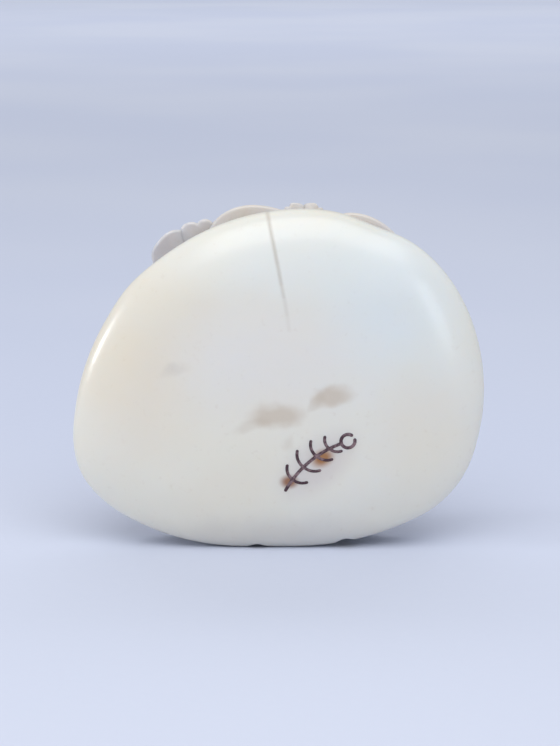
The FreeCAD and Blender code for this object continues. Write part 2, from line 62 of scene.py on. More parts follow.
class Nodes:
    """Short ways of adding nodes to one material. Values and sockets can be mixed freely."""

    def __init__(self, name):
        self.mat = bpy.data.materials.new(name)
        self.mat.use_nodes = True
        self.tree = self.mat.node_tree
        self.tree.nodes.clear()
        self.out = self.tree.nodes.new("ShaderNodeOutputMaterial")
        self.bsdf = self.tree.nodes.new("ShaderNodeBsdfPrincipled")
        self.link(self.bsdf.outputs[0], self.out.inputs["Surface"])
        self.coords = self.tree.nodes.new("ShaderNodeTexCoord").outputs["Object"]

    def link(self, a, b):
        self.tree.links.new(a, b)

    def put(self, socket, value):
        if isinstance(value, bpy.types.NodeSocket):
            self.link(value, socket)
        else:
            socket.default_value = value

    def math(self, op, a, b, c=0.0, clamp=False):
        n = self.tree.nodes.new("ShaderNodeMath")
        n.operation = op
        n.use_clamp = clamp
        for socket, value in zip(n.inputs, (a, b, c)):
            self.put(socket, value)
        return n.outputs[0]

    def vec(self, op, a, b=(0, 0, 0), out="Vector"):
        n = self.tree.nodes.new("ShaderNodeVectorMath")
        n.operation = op
        self.put(n.inputs[0], a)
        if op == "SCALE":
            self.put(n.inputs["Scale"], b)
        else:
            self.put(n.inputs[1], b)
        return n.outputs[out]

    def noise(self, scale, detail=3.0, rough=0.5, warp=0.0, at=None):
        n = self.tree.nodes.new("ShaderNodeTexNoise")
        self.put(n.inputs["Vector"], at or self.coords)
        n.inputs["Scale"].default_value = scale
        n.inputs["Detail"].default_value = detail
        n.inputs["Roughness"].default_value = rough
        n.inputs["Distortion"].default_value = warp
        return n.outputs["Fac"]

    def ramp(self, value, low, high, out_low=0.0, out_high=1.0):
        """Smooth step from out_low at low to out_high at high."""
        n = self.tree.nodes.new("ShaderNodeMapRange")
        n.interpolation_type = "SMOOTHSTEP"
        for key, v in (("Value", value), ("From Min", low), ("From Max", high),
                       ("To Min", out_low), ("To Max", out_high)):
            self.put(n.inputs[key], v)
        return n.outputs["Result"]

    def mix(self, factor, a, b):
        """Colour a at factor 0, colour b at factor 1."""
        n = self.tree.nodes.new("ShaderNodeMix")
        n.data_type = "RGBA"
        self.put(n.inputs["Factor"], factor)
        self.put(n.inputs["A"], a)
        self.put(n.inputs["B"], b)
        return n.outputs["Result"]

    def stretched(self, scale, turn):
        """Coordinates turned about Y by turn degrees and scaled per axis."""
        n = self.tree.nodes.new("ShaderNodeMapping")
        self.link(self.coords, n.inputs["Vector"])
        n.inputs["Rotation"].default_value = (0, math.radians(turn), 0)
        n.inputs["Scale"].default_value = scale
        return n.outputs[0]

    def bump(self, height, strength, distance, normal=None):
        n = self.tree.nodes.new("ShaderNodeBump")
        n.inputs["Strength"].default_value = strength
        n.inputs["Distance"].default_value = distance
        self.put(n.inputs["Height"], height)
        if normal is not None:
            self.link(normal, n.inputs["Normal"])
        return n.outputs[0]

    def set(self, **values):
        for key, value in values.items():
            self.put(self.bsdf.inputs[key.replace("_", " ")], value)
        return self.mat


class Ivory(Nodes):
    """Ivory: translucent, warm and cool clouding, fine growth lines, and old stain in hollows."""

    def __init__(self, name, cool, warm, stain, rough, staining):
        super().__init__(name)
        clouds = self.ramp(self.noise(60, 3, 0.45), 0.30, 0.70)
        colour = self.mix(clouds, cool, warm)
        lines = self.noise(1, 4, 0.6, 0.0, self.stretched((90, 200, 1500), 16))
        colour = self.mix(self.ramp(lines, 0.42, 0.72, 0.0, 0.16), colour, warm)
        flecks = self.ramp(self.noise(1500, 2, 0.5), 0.60, 0.85, 0.0, 0.12)
        self.colour = self.mix(flecks, colour, stain)
        if staining:
            hollow = self.tree.nodes.new("ShaderNodeAttribute")
            hollow.attribute_name = "hollow"
            uneven = self.ramp(self.noise(420, 4, 0.65), 0.25, 0.75, 0.55, 1.25)
            amount = self.math("MULTIPLY", hollow.outputs["Fac"], uneven)
            self.colour = self.mix(self.math("MULTIPLY", amount, staining, clamp=True),
                                   self.colour, stain)
        self.rough = self.math("MULTIPLY_ADD", self.noise(180, 3, 0.5), 0.12, rough - 0.05)
        self.normal = self.bump(self.noise(260, 2, 0.5), 0.10, 0.00006)

    def done(self, subsurface):
        self.bsdf.subsurface_method = "RANDOM_WALK"
        return self.set(Base_Color=self.colour, Roughness=self.rough, Normal=self.normal,
                        IOR=1.54, Subsurface_Weight=subsurface, Subsurface_Scale=0.0011,
                        Subsurface_Radius=(1.0, 0.8, 0.62), Coat_Weight=0.25, Coat_Roughness=0.12,
                        Coat_IOR=1.5)


def near_line(m, a, b, width, fade, at):
    """1 on the segment from a to b of (x, z) millimetres, fading out from width to fade."""
    (ax, az), (bx, bz) = a, b
    segment = ((bx - ax) * MM, 0, (bz - az) * MM)
    length2 = (bx - ax) ** 2 + (bz - az) ** 2
    rel = m.vec("SUBTRACT", at, (ax * MM, 0, az * MM))
    along = m.math("DIVIDE", m.vec("DOT_PRODUCT", rel, segment, out="Value"),
                   length2 * MM * MM, clamp=True)
    foot = m.vec("SCALE", segment, along)
    distance = m.vec("LENGTH", m.vec("SUBTRACT", rel, foot), out="Value")
    return m.ramp(distance, width * MM, fade * MM, 1.0, 0.0)


def blot(m, x, z, length, width, turn, at, fade):
    """1 inside an ellipse centred at (x, z) millimetres, fading out over the share fade on both
    sides of its edge."""
    n = m.tree.nodes.new("ShaderNodeMapping")
    n.vector_type = "TEXTURE"
    m.link(at, n.inputs["Vector"])
    n.inputs["Location"].default_value = (x * MM, 0, z * MM)
    n.inputs["Rotation"].default_value = (0, math.radians(-turn), 0)
    n.inputs["Scale"].default_value = (length * MM, 1, width * MM)
    return m.ramp(m.vec("LENGTH", n.outputs[0], out="Value"), 1 - fade, 1 + fade, 1.0, 0.0)


def flattened(m, warp_scale, warp_size):
    """Coordinates on the back's plane, pushed about a little by noise."""
    push = m.tree.nodes.new("ShaderNodeTexNoise")
    m.link(m.coords, push.inputs["Vector"])
    push.inputs["Scale"].default_value = warp_scale
    push.inputs["Detail"].default_value = 3
    offset = m.vec("SCALE", m.vec("SUBTRACT", push.outputs["Color"], (0.5, 0.5, 0.5)),
                   warp_size * MM)
    return m.vec("MULTIPLY", m.vec("ADD", m.coords, offset), (1, 0, 1))


def tinted(m, colour, spots, at, fade):
    """The colour with soft spots laid over it."""
    for x, z, length, width, turn, tint, strength in spots:
        spot = blot(m, x, z, length, width, turn, at, fade)
        colour = m.mix(m.math("MULTIPLY", spot, strength), colour, tint)
    return colour


# The middle of the drying crack, from the top of the rim down, as (x, z) in millimetres, and how
# strongly each stretch between two points shows.
CRACK = [(-1.25, 17.9), (-0.78, 15.6), (-0.12, 12.5), (0.28, 10.4), (0.55, 9.1), (0.86, 7.3),
         (1.05, 5.8)]
CRACK_STRENGTHS = (0.42, 0.44, 0.38, 0.28, 0.18, 0.10)

# Spots of colour on the back, each (x, z, half length, half width, turn, colour, strength). Among
# the broad ones are painted shade along the foot, a painted highlight along the top and a painted
# cool reflection on the upper right; the others make the tone warmer or greyer in places. The
# shadows lie where the channel's half turn shows through, and the stains where the mark was cut.
BACK_TONES_AND_PAINTED_LIGHT = (
    (-13.0, 6.5, 7.5, 5.5, 45, srgb(230, 216, 186), 0.38),
    (-14.5, -1.5, 5.5, 6.0, 0, srgb(228, 213, 190), 0.34),
    (14.5, -3.5, 4.0, 5.5, -20, srgb(222, 212, 194), 0.26),
    (-4.5, -10.5, 6.0, 2.6, 16, srgb(220, 211, 198), 0.20),
    (-1.5, 2.5, 8.0, 6.0, 0, srgb(224, 219, 217), 0.35),
    # painted shade: a darker band along the foot
    (0.0, -17.2, 13.0, 2.6, 0, srgb(186, 180, 178), 0.36),
    # painted reflection: a bluish spot of cool light on the upper right
    (12.0, 8.5, 8.0, 6.0, -35, srgb(216, 230, 240), 0.42),
    # painted highlight: a paler, cooler band along the top
    (3.0, 13.0, 13.0, 3.5, 0, srgb(232, 240, 242), 0.35),
    (-10.4, 1.4, 1.3, 0.50, 10, srgb(176, 168, 160), 0.20),
    (1.0, -6.0, 0.7, 0.45, 75, srgb(190, 176, 160), 0.22))
CHANNEL_SHADOWS = (
    (0.0, -2.9, 2.4, 1.20, 4, srgb(186, 166, 142), 0.50),
    (-2.7, -4.0, 2.0, 0.65, 24, srgb(192, 178, 160), 0.28),
    (5.5, -0.9, 1.7, 0.85, 10, srgb(184, 162, 136), 0.50),
    (3.9, -1.6, 1.0, 0.50, 44, srgb(190, 176, 158), 0.30))
MARK_STAINS = (
    (4.0, -8.2, 3.9, 2.1, 40, srgb(196, 182, 184), 0.42),
    (4.5, -7.5, 1.00, 0.75, 30, srgb(158, 98, 22), 0.92),
    (1.1, -10.0, 0.80, 0.60, 0, srgb(140, 82, 34), 0.90))


def back_material():
    """Polished ivory with painted shade at the foot, a painted highlight along the top, a painted
    cool reflection on the upper right, the shadows of the cord channel, the crack and stain by the
    mark.
    """
    m = Ivory("polished_ivory", srgb(226, 226, 222), srgb(229, 226, 214), srgb(176, 150, 120),
              0.29, 0)
    wavy = flattened(m, 260, 2.6)
    # the broad tones, among them painted shade at the foot, a painted highlight along the top and a
    # painted cool reflection on the upper right
    colour = tinted(m, m.colour, BACK_TONES_AND_PAINTED_LIGHT, wavy, 0.7)
    colour = tinted(m, colour, CHANNEL_SHADOWS, wavy, 0.52)
    crisp = flattened(m, 900, 0.10)
    crack = 0.0
    for start, end, strength in zip(CRACK, CRACK[1:], CRACK_STRENGTHS):
        line = near_line(m, start, end, 0.02, 0.36, crisp)
        crack = m.math("MAXIMUM", crack, m.math("MULTIPLY", line, strength))
    colour = m.mix(crack, colour, srgb(178, 166, 152))
    m.colour = tinted(m, colour, MARK_STAINS, crisp, 0.6)
    return m.done(0.32)


def carved_material(name, cool, warm, stain, rough, staining):
    """Ivory with the fine marks of the carving tools."""
    m = Ivory(name, cool, warm, stain, rough, staining)
    m.normal = m.bump(m.noise(1800, 3, 0.6), 0.22, 0.00004, m.normal)
    return m.done(0.28)


def horn_material():
    """Dark horn with lighter streaks and a fine polish."""
    m = Nodes("dark_horn")
    streaks = m.ramp(m.noise(1, 4, 0.6, 0.8, m.stretched((900, 250, 2600), 20)), 0.40, 0.72)
    rough = m.ramp(m.noise(1400, 3), 0.3, 0.7, 0.18, 0.36)
    return m.set(Base_Color=m.mix(streaks, srgb(34, 24, 22), srgb(82, 56, 44)), Roughness=rough,
                 IOR=1.55, Normal=m.bump(m.noise(2600, 3), 0.25, 0.00003), Coat_Weight=0.3,
                 Coat_Roughness=0.15)


def pigment_material():
    """Dark pigment rubbed into the strokes, worn thin in places."""
    m = Nodes("mark_pigment")
    worn = m.ramp(m.noise(1500, 4, 0.65), 0.42, 0.68)
    grain = m.noise(5200, 3, 0.6)
    colour = m.mix(worn, srgb(70, 46, 56), srgb(142, 118, 122))
    return m.set(Base_Color=m.mix(m.ramp(grain, 0.5, 0.8, 0.0, 0.35), colour, srgb(120, 86, 66)),
                 Roughness=m.ramp(grain, 0.2, 0.8, 0.50, 0.72),
                 Normal=m.bump(grain, 0.4, 0.00004), Subsurface_Weight=0.15,
                 Subsurface_Scale=0.0006, Subsurface_Radius=(1.0, 0.8, 0.7))


# The carved ivory is a little darker than the polished back: painted shade, for the relief that
# lies in shade behind the rim.
CARVED = dict(cool=srgb(212, 212, 217), warm=srgb(214, 207, 196), stain=srgb(128, 98, 70))
materials = {
    "polished_ivory": back_material(),
    "carved_ivory": carved_material("carved_ivory", **CARVED, rough=0.33, staining=0.75),
    "carved_ground": carved_material("carved_ground", **CARVED, rough=0.42, staining=0.85),
    "dowel_ivory": carved_material("dowel_ivory", srgb(214, 208, 198), srgb(206, 194, 172),
                                   srgb(140, 112, 80), 0.45, 0),
    "dark_horn": horn_material(),
    "mark_pigment": pigment_material(),
}


# ------------------------------------------------------------------------------------------------
# Meshes: all shapes are worked out in millimetres, and scaled when the object is made
# ------------------------------------------------------------------------------------------------
def new_object(name, node, verts, faces, material, slot, hollow=None):
    """A piece of the button made of the given closed shape, in place of a CAD node."""
    mesh = bpy.data.meshes.new(name)
    mesh.from_pydata([tuple(v) for v in np.asarray(verts) * MM], [], faces)
    bm = bmesh.new()
    bm.from_mesh(mesh)
    bmesh.ops.recalc_face_normals(bm, faces=bm.faces)
    bm.to_mesh(mesh)
    bm.free()
    if hollow is not None:
        layer = mesh.attributes.new("hollow", "FLOAT", "POINT")
        layer.data.foreach_set("value", np.asarray(hollow, np.float32))
    mesh.shade_smooth()
    obj = bpy.data.objects.new(name, mesh)
    scene.collection.objects.link(obj)
    mesh.materials.append(materials[material])
    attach(obj, "root")
    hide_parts(node)
    return obj


def carved(name, node, verts, faces, hollow):
    """A piece of the carving, with stain where hollow is above 0."""
    new_object(name, node, verts, faces, "carved_ivory", "carved_ivory", hollow)


def noise_at(points, size, seed):
    """Smooth noise of about +-1 at each point, with features of the given size."""
    shift = Vector((seed, -seed * 0.7, seed * 1.3))
    return np.array([noise.noise(Vector(p) / size + shift) for p in points])


slab_low, slab_high = (np.array(v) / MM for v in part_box("back_slab"))
FOOT = slab_low[2]
SEAM = slab_high[1]  # the level where the slab meets the front block
ANGLES = 720  # points round the outline


def node_points(node):
    """The vertices of a CAD node."""
    co = np.empty(len(nodes[node].data.vertices) * 3)
    nodes[node].data.vertices.foreach_get("co", co)
    return co.reshape(-1, 3) / MM


def outline_radii():
    """Even angles, and at each the radius of the slab's outline, read from the upper part of its
    side wall. Straight stretches stay straight."""
    points = node_points("back_slab")
    wall = points[(points[:, 1] > SEAM - 0.5) & (points[:, 1] < SEAM - 0.3)][:, [0, 2]]
    wall = wall[np.argsort(np.arctan2(wall[:, 1], wall[:, 0]))]
    shares = np.linspace(0, 1, 24, endpoint=False)[:, None, None]
    dense = (wall * (1 - shares) + np.roll(wall, -1, 0) * shares).reshape(-1, 2)
    angle = np.arctan2(dense[:, 1], dense[:, 0])
    order = np.argsort(angle)
    even = np.linspace(-math.pi, math.pi, ANGLES, endpoint=False)
    reach = np.interp(even, angle[order], np.hypot(*dense.T)[order], period=2 * math.pi)
    return even, reach


# Where the outline is worn flatter (-) or fuller (+): the middle and reach in degrees, and by how
# much. The first lies under the upper right leaf.
WORN = ((58, 10, -0.45), (148, 10, 0.20), (-155, 9, 0.28))
NORMAL_WAVES = 40  # finer waves than this many to the turn are left out of the normals


def worn_outline():
    """The outline as (x, z) points, and its smoothed outward normals."""
    turn, radius = outline_radii()
    for middle, reach, amount in WORN:
        radius += amount * np.exp(-((np.degrees(turn) - middle) / reach) ** 2)
    outline = np.stack([radius * np.cos(turn), radius * np.sin(turn)], 1)
    step = np.roll(outline, -1, 0) - np.roll(outline, 1, 0)
    step /= np.linalg.norm(step, axis=1)[:, None]
    waves = np.fft.rfft(np.stack([step[:, 1], -step[:, 0]], 1), axis=0)
    waves *= np.exp(-(np.arange(len(waves)) / NORMAL_WAVES) ** 2)[:, None]
    outwards = np.fft.irfft(waves, ANGLES, axis=0)
    outwards /= np.linalg.norm(outwards, axis=1)[:, None]
    return outline, outwards


OUTLINE, OUTWARDS = worn_outline()


def inset_ring(inset, sink=0.0):
    """The outline moved inwards by inset, and down by sink."""
    ring = OUTLINE - OUTWARDS * inset
    ring[:, 1] -= sink
    return ring


def turned_solid(rings):
    """Verts and faces of a closed solid made of rings of (x, y, z) points, each end closed by a
    fan round its middle."""
    count = len(rings[0])
    verts = [tuple(p) for ring in rings for p in ring]
    faces = []
    for i in range(len(rings) - 1):
        for j in range(count):
            k = (j + 1) % count
            faces.append((i * count + j, i * count + k, (i + 1) * count + k, (i + 1) * count + j))
    for i, ring in ((0, rings[0]), (len(rings) - 1, rings[-1])):
        verts.append(tuple(np.mean(ring, 0)))
        middle = len(verts) - 1
        faces += [(i * count + j, i * count + (j + 1) % count, middle) for j in range(count)]
    return np.array(verts), faces


def ring_at(flat, y):
    """The (x, z) points of flat at depth y, which is one number or one for each point."""
    return np.stack([flat[:, 0], np.full(len(flat), y) if np.isscalar(y) else y, flat[:, 1]], 1)


# ------------------------------------------------------------------------------------------------
# Back slab: a soft-shouldered rim, the crack, the cord channel and the strokes of the mark
# ------------------------------------------------------------------------------------------------
RIM_WIDTH, RIM_DEPTH = 6.6, 4.0
RIM_POWER = 2.35  # 2 makes the rim elliptical, and more makes it fuller
FOOT_FULLER = 0.6  # how much less deep the rim is over the foot
CROWN_RADIUS = 130.0  # of the slight crown of the polished back
WALL_LEAN = 0.42  # how far the side wall has come in where it meets the front
SEAM_WIDTH = 3.4  # from the outline to the edge of the recess
RECESS_LEVEL = 5.8
SHARP_DEGREES = 38  # edges sharper than this are shaded as edges

CHANNEL_RADIUS, CHANNEL_DEPTH = 1.3, 3.7
CHANNEL_MIDDLE, CHANNEL_TURN = 2.3, -6.4  # (x, z) of the middle of the half turn
CHANNEL_HALF = 4.5  # from that middle to each leg

# The crack's groove: half its width and its depth at the lower end, and how much more at the top
GROOVE_HALF, GROOVE_DEPTH = (0.05, 0.07), (0.005, 0.026)

# The cut of the mark and the pigment in it, each from and to so far below the polished back
MARK_CUT, MARK_FILL = (-0.12, 0.22), (0.03, 0.21)
STROKE_CELL = 0.04  # the cells of the remesh that softens the strokes' edges


def back_level(x, z, inset):
    """How far forward the polished back lies at (x, z): a slight crown, then the rounded rim."""
    crown = (x ** 2 + z ** 2) / (2 * CROWN_RADIUS)
    share = np.clip(1 - inset / RIM_WIDTH, 0, 1)
    depth = RIM_DEPTH - FOOT_FULLER * np.clip((-z - 6) / 10, 0, 1)
    return crown + (depth - crown) * (1 - (1 - share ** RIM_POWER) ** (1 / RIM_POWER))


def on_back(x, z):
    """How far forward the polished back lies at points (x, z) anywhere inside the outline."""
    x, z = np.atleast_1d(x), np.atleast_1d(z)
    inset = np.hypot(OUTLINE[:, 0] - x[:, None], OUTLINE[:, 1] - z[:, None]).min(1)
    return back_level(x, z, inset)


def slab_rings():
    """Rings of the slab: polished back, rim, side wall, seam and recess."""
    rings = []
    shoulder = inset_ring(RIM_WIDTH)
    for share in np.linspace(0.03, 0.97, 26):
        flat = shoulder * share
        rings.append(ring_at(flat, back_level(*flat.T, RIM_WIDTH)))
    for inset in RIM_WIDTH * (1 - np.sin(np.linspace(0, math.pi / 2, 34))):
        flat = inset_ring(inset)
        rings.append(ring_at(flat, back_level(*flat.T, inset)))
    for share in np.linspace(0.15, 0.96, 10):
        y = RIM_DEPTH + (SEAM - RIM_DEPTH) * share
        rings.append(ring_at(inset_ring(WALL_LEAN * share ** 2), y))
    for inset, y in ((WALL_LEAN + 0.04, SEAM - 0.04), (WALL_LEAN + 0.14, SEAM),
                     (SEAM_WIDTH, SEAM), (SEAM_WIDTH, RECESS_LEVEL)):
        rings.append(ring_at(inset_ring(inset), y))
    for share in (0.9, 0.5, 0.1):
        rings.append(ring_at(inset_ring(SEAM_WIDTH) * share, RECESS_LEVEL))
    return rings


def tube(path, radii, around):
    """Verts and faces of a closed tube along path, with a radius at each point."""
    path = np.asarray(path, float)
    along = np.gradient(path, axis=0)
    along /= np.linalg.norm(along, axis=1)[:, None]
    side = np.cross(along, (0, 1, 0))
    side /= np.linalg.norm(side, axis=1)[:, None]
    up = np.cross(side, along)
    angles = np.linspace(0, 2 * math.pi, around, endpoint=False)
    rings = [p + r * (np.cos(angles)[:, None] * s + np.sin(angles)[:, None] * u)
             for p, r, s, u in zip(path, radii, side, up)]
    return turned_solid(rings)


def loose_mesh(name, verts, faces):
    """A mesh object that is only worked with, and removed later."""
    mesh = bpy.data.meshes.new(name)
    mesh.from_pydata([tuple(v) for v in np.asarray(verts) * MM], [], faces)
    bm = bmesh.new()
    bm.from_mesh(mesh)
    bmesh.ops.remove_doubles(bm, verts=bm.verts, dist=1e-7)
    bmesh.ops.recalc_face_normals(bm, faces=bm.faces)
    bm.to_mesh(mesh)
    bm.free()
    obj = bpy.data.objects.new(name, mesh)
    scene.collection.objects.link(obj)
    return obj


def settle(obj):
    """Applies the modifiers of obj to its mesh."""
    bpy.context.view_layer.update()
    graph = bpy.context.evaluated_depsgraph_get()
    mesh = bpy.data.meshes.new_from_object(obj.evaluated_get(graph))
    obj.modifiers.clear()
    old, obj.data = obj.data, mesh
    mesh.name = old.name
    bpy.data.meshes.remove(old)


def carve(target, cutters):
    """Cuts each cutter out of target, and removes the cutters."""
    for cutter in cutters:
        mod = target.modifiers.new("cut", "BOOLEAN")
        mod.operation, mod.solver, mod.object = "DIFFERENCE", "MANIFOLD", cutter
    settle(target)
    for cutter in cutters:
        bpy.data.objects.remove(cutter)


def channel_cutter():
    """The cord's way: in at one mouth, round a half turn, and out at the other."""
    legs = np.linspace(FOOT - 1.2, CHANNEL_TURN, 22)
    path = [(CHANNEL_MIDDLE - CHANNEL_HALF, CHANNEL_DEPTH, z) for z in legs]
    path += [(CHANNEL_MIDDLE + CHANNEL_HALF * math.cos(a), CHANNEL_DEPTH,
              CHANNEL_TURN + CHANNEL_HALF * math.sin(a)) for a in np.linspace(math.pi, 0, 34)[1:-1]]
    path += [(CHANNEL_MIDDLE + CHANNEL_HALF, CHANNEL_DEPTH, z) for z in legs[::-1]]
    return loose_mesh("channel", *tube(path, [CHANNEL_RADIUS] * len(path), 40))


def crack_cutter():
    """A fine groove that follows the crack up the back and over the rim to the seam."""
    crack_x, crack_z = np.array(CRACK).T
    top = OUTLINE[np.abs(OUTLINE[:, 0] - crack_x[0]).argsort()[:6], 1].max()
    z = np.linspace(crack_z[-1], top - 0.02, 90)
    x = np.interp(z, crack_z[::-1], crack_x[::-1])
    x = x + 0.035 * np.sin(z * 3.1) + 0.02 * np.sin(z * 8.3 + 1)
    over = np.linspace(RIM_DEPTH + 0.3, SEAM + 0.2, 10)
    path = np.concatenate([ring_at(np.stack([x, z], 1), on_back(x, z)),
                           ring_at(np.array([(x[-1], top)] * len(over)), over)])
    along = np.gradient(path, axis=0)
    outwards = np.cross(along, (1.0, 0, 0))
    outwards /= np.linalg.norm(outwards, axis=1)[:, None]
    outwards *= np.sign(outwards @ np.array([0, -1.0, 0.3]))[:, None]
    open_share = np.linspace(0, 1, len(path)) ** 0.7
    rings = []
    for p, up, share in zip(path, outwards, open_share):
        half, depth = (first + more * share for first, more in (GROOVE_HALF, GROOVE_DEPTH))
        rings.append(np.array([p + up * 0.1 + (half, 0, 0), p + up * 0.1 - (half, 0, 0),
                               p - up * depth]))
    return loose_mesh("crack", *turned_solid(rings))


def mark_strokes(near, far):
    """Verts and faces of the mark's strokes, from near to far below the polished back, with the
    slightly soft edges of a hand-cut line."""
    points = node_points("mark_infill")
    low, high = points[:, 1].min(), points[:, 1].max()
    points[:, 1] = near + (points[:, 1] - low) / (high - low) * (far - near)
    shape = loose_mesh("mark", points, [tuple(p.vertices) for p in
                                        nodes["mark_infill"].data.polygons])
    mod = shape.modifiers.new("soften", "REMESH")
    mod.mode, mod.voxel_size = "VOXEL", STROKE_CELL * MM
    settle(shape)
    verts = np.empty(len(shape.data.vertices) * 3)
    shape.data.vertices.foreach_get("co", verts)
    verts = verts.reshape(-1, 3) / MM
    verts[:, 1] += on_back(verts[:, 0], verts[:, 2])
    faces = [tuple(p.vertices) for p in shape.data.polygons]
    bpy.data.objects.remove(shape)
    return verts, faces


slab = new_object("back_slab_polished", "back_slab", *turned_solid(slab_rings()),
                  "polished_ivory", "polished_ivory")
carve(slab, [channel_cutter(), crack_cutter(), loose_mesh("mark", *mark_strokes(*MARK_CUT))])
slab.data.shade_smooth()
slab.data.set_sharp_from_angle(angle=math.radians(SHARP_DEGREES))

new_object("mark_infill_rubbed", "mark_infill", *mark_strokes(*MARK_FILL),
           "mark_pigment", "mark_pigment")


# ------------------------------------------------------------------------------------------------
# The front block: its dome, and points on it
# ------------------------------------------------------------------------------------------------
DOME_TOP, DOME_RADIUS = 12.8, 56.0
DOME_CENTRE = np.array([0, DOME_TOP - DOME_RADIUS, 0])
FRONT_INSET = 0.6  # how far the side wall stands in from the outline, and how far it is let down
EDGE_WIDTH, EDGE_DROP = 1.0, 0.95  # the soft edge between side wall and dome


def dome_level(x, z):
    """How far forward the dome lies at (x, z)."""
    return DOME_TOP - DOME_RADIUS + np.sqrt(DOME_RADIUS ** 2 - x ** 2 - z ** 2)


def on_dome(x, z, rise):
    """Points that stand rise off the dome at (x, z)."""
    x, z, rise = np.broadcast_arrays(np.asarray(x, float), np.asarray(z, float),
                                     np.asarray(rise, float))
    base = np.stack([x, dome_level(x, z), z], -1)
    normal = (base - DOME_CENTRE) / DOME_RADIUS
    return base + normal * rise[..., None]


def front_rings():
    """Rings of the front block: flat base, rounded lower edge, side wall, soft edge and dome."""
    rings = [ring_at(inset_ring(SEAM_WIDTH, FRONT_INSET) * share, SEAM) for share in (0.2, 0.6)]
    for inset, y in ((SEAM_WIDTH, SEAM), (FRONT_INSET + 0.42, SEAM),
                     (FRONT_INSET + 0.22, SEAM + 0.08), (FRONT_INSET + 0.06, SEAM + 0.25),
                     (FRONT_INSET, SEAM + 0.5)):
        rings.append(ring_at(inset_ring(inset, FRONT_INSET), y))
    wall = inset_ring(FRONT_INSET, FRONT_INSET)
    level = dome_level(*wall.T)
    for rise in (0.35, 0.7, 0.9):
        rings.append(ring_at(wall, SEAM + 0.5 + (level - 1.1 - SEAM - 0.5) * rise))
    for a in np.radians([0, 18, 36, 54, 72, 90]):
        ring = inset_ring(FRONT_INSET + EDGE_WIDTH * (1 - math.cos(a)), FRONT_INSET)
        rings.append(ring_at(ring, dome_level(*ring.T) - EDGE_DROP * (1 - math.sin(a))))
    last = inset_ring(FRONT_INSET + EDGE_WIDTH, FRONT_INSET)
    for share in np.linspace(0.985, 0.02, 78):
        ring = last * share
        rings.append(ring_at(ring, dome_level(*ring.T)))
    return rings


def ground_relief(points):
    """How far each point is cut below the plain surface by the tools that cleared the ground."""
    facets = np.abs(noise_at(points, 1.15, 3.0)) * 0.16
    fine = np.abs(noise_at(points, 0.42, 9.0)) * 0.06
    return facets + fine


def make_front():
    """The front block with shallow tool facets, cut into its dome and less into its side wall."""
    verts, faces = turned_solid(front_rings())
    above_seam = verts[:, 1] > SEAM + 0.3
    on_foot = verts[:, 2] < FOOT + 0.02
    on_top = verts[:, 1] > dome_level(verts[:, 0], verts[:, 2]) - 0.3
    relief = np.where(above_seam & ~on_foot, ground_relief(verts), 0.0)
    normal = (verts - DOME_CENTRE) / DOME_RADIUS
    sideways = verts * (1, 0, 1) / np.maximum(np.hypot(verts[:, 0], verts[:, 2]), 1)[:, None]
    push = np.where(on_top[:, None], normal, sideways * 0.4)
    hollow = np.clip(0.25 + relief * 3.2, 0, 1) * above_seam
    new_object("front_ground", "front_block", verts - push * relief[:, None], faces,
               "carved_ground", "carved_ivory", hollow)


make_front()


# ------------------------------------------------------------------------------------------------
# Carved petals, leaves, buds and stems
# ------------------------------------------------------------------------------------------------
EDGE_BULGE = 0.32  # how far a sheet's rounded edge stands out, as a share of its thickness


def sheet(top, bottom, hollow):
    """A closed solid between two grids of points, with a rounded edge all round. Its underside and
    its edge are stained less than its top."""
    n, m = top.shape[:2]
    verts = np.concatenate([top.reshape(-1, 3), bottom.reshape(-1, 3)])
    under = n * m
    loop = [i * m for i in range(n)] + [(n - 1) * m + j for j in range(1, m)]
    loop += [i * m + m - 1 for i in range(n - 2, -1, -1)] + list(range(m - 2, 0, -1))
    loop = np.array(loop)
    middle = (verts[loop] + verts[loop + under]) / 2
    away = middle - verts[: under].mean(0)
    away /= np.linalg.norm(away, axis=1)[:, None]
    thick = np.linalg.norm(verts[loop] - verts[loop + under], axis=1)[:, None]
    verts = np.concatenate([verts, middle + away * thick * EDGE_BULGE])
    faces = []
    for i in range(n - 1):
        for j in range(m - 1):
            a, b, c, d = i * m + j, i * m + j + 1, (i + 1) * m + j + 1, (i + 1) * m + j
            faces += [(a, b, c, d), (d + under, c + under, b + under, a + under)]
    rim = 2 * under
    for i in range(len(loop)):
        k = (i + 1) % len(loop)
        faces += [(loop[i], loop[k], rim + k, rim + i),
                  (rim + i, rim + k, loop[k] + under, loop[i] + under)]
    hollow = np.asarray(hollow).reshape(-1)
    hollow = np.concatenate([hollow, hollow * 0.12 + 0.05, hollow[loop] * 0.3])
    return verts, [tuple(int(i) for i in f) for f in faces], hollow


def joined(parts):
    """Several closed solids as one list of verts, faces and hollow values."""
    verts, faces, hollow, base = [], [], [], 0
    for v, f, h in parts:
        verts.append(v)
        hollow.append(np.broadcast_to(h, len(v)))
        faces += [tuple(i + base for i in face) for face in f]
        base += len(v)
    return np.concatenate(verts), faces, np.concatenate(hollow)


def dome_frame(x, z, turn):
    """A point on the dome with its normal, a direction at turn degrees from +X, and sideways."""
    normal = on_dome(x, z, 1.0) - on_dome(x, z, 0.0)
    a = math.radians(turn)
    along = np.array([math.cos(a), 0, math.sin(a)])
    along -= normal * along.dot(normal)
    along /= np.linalg.norm(along)
    return on_dome(x, z, 0.0), normal, along, np.cross(along, normal)


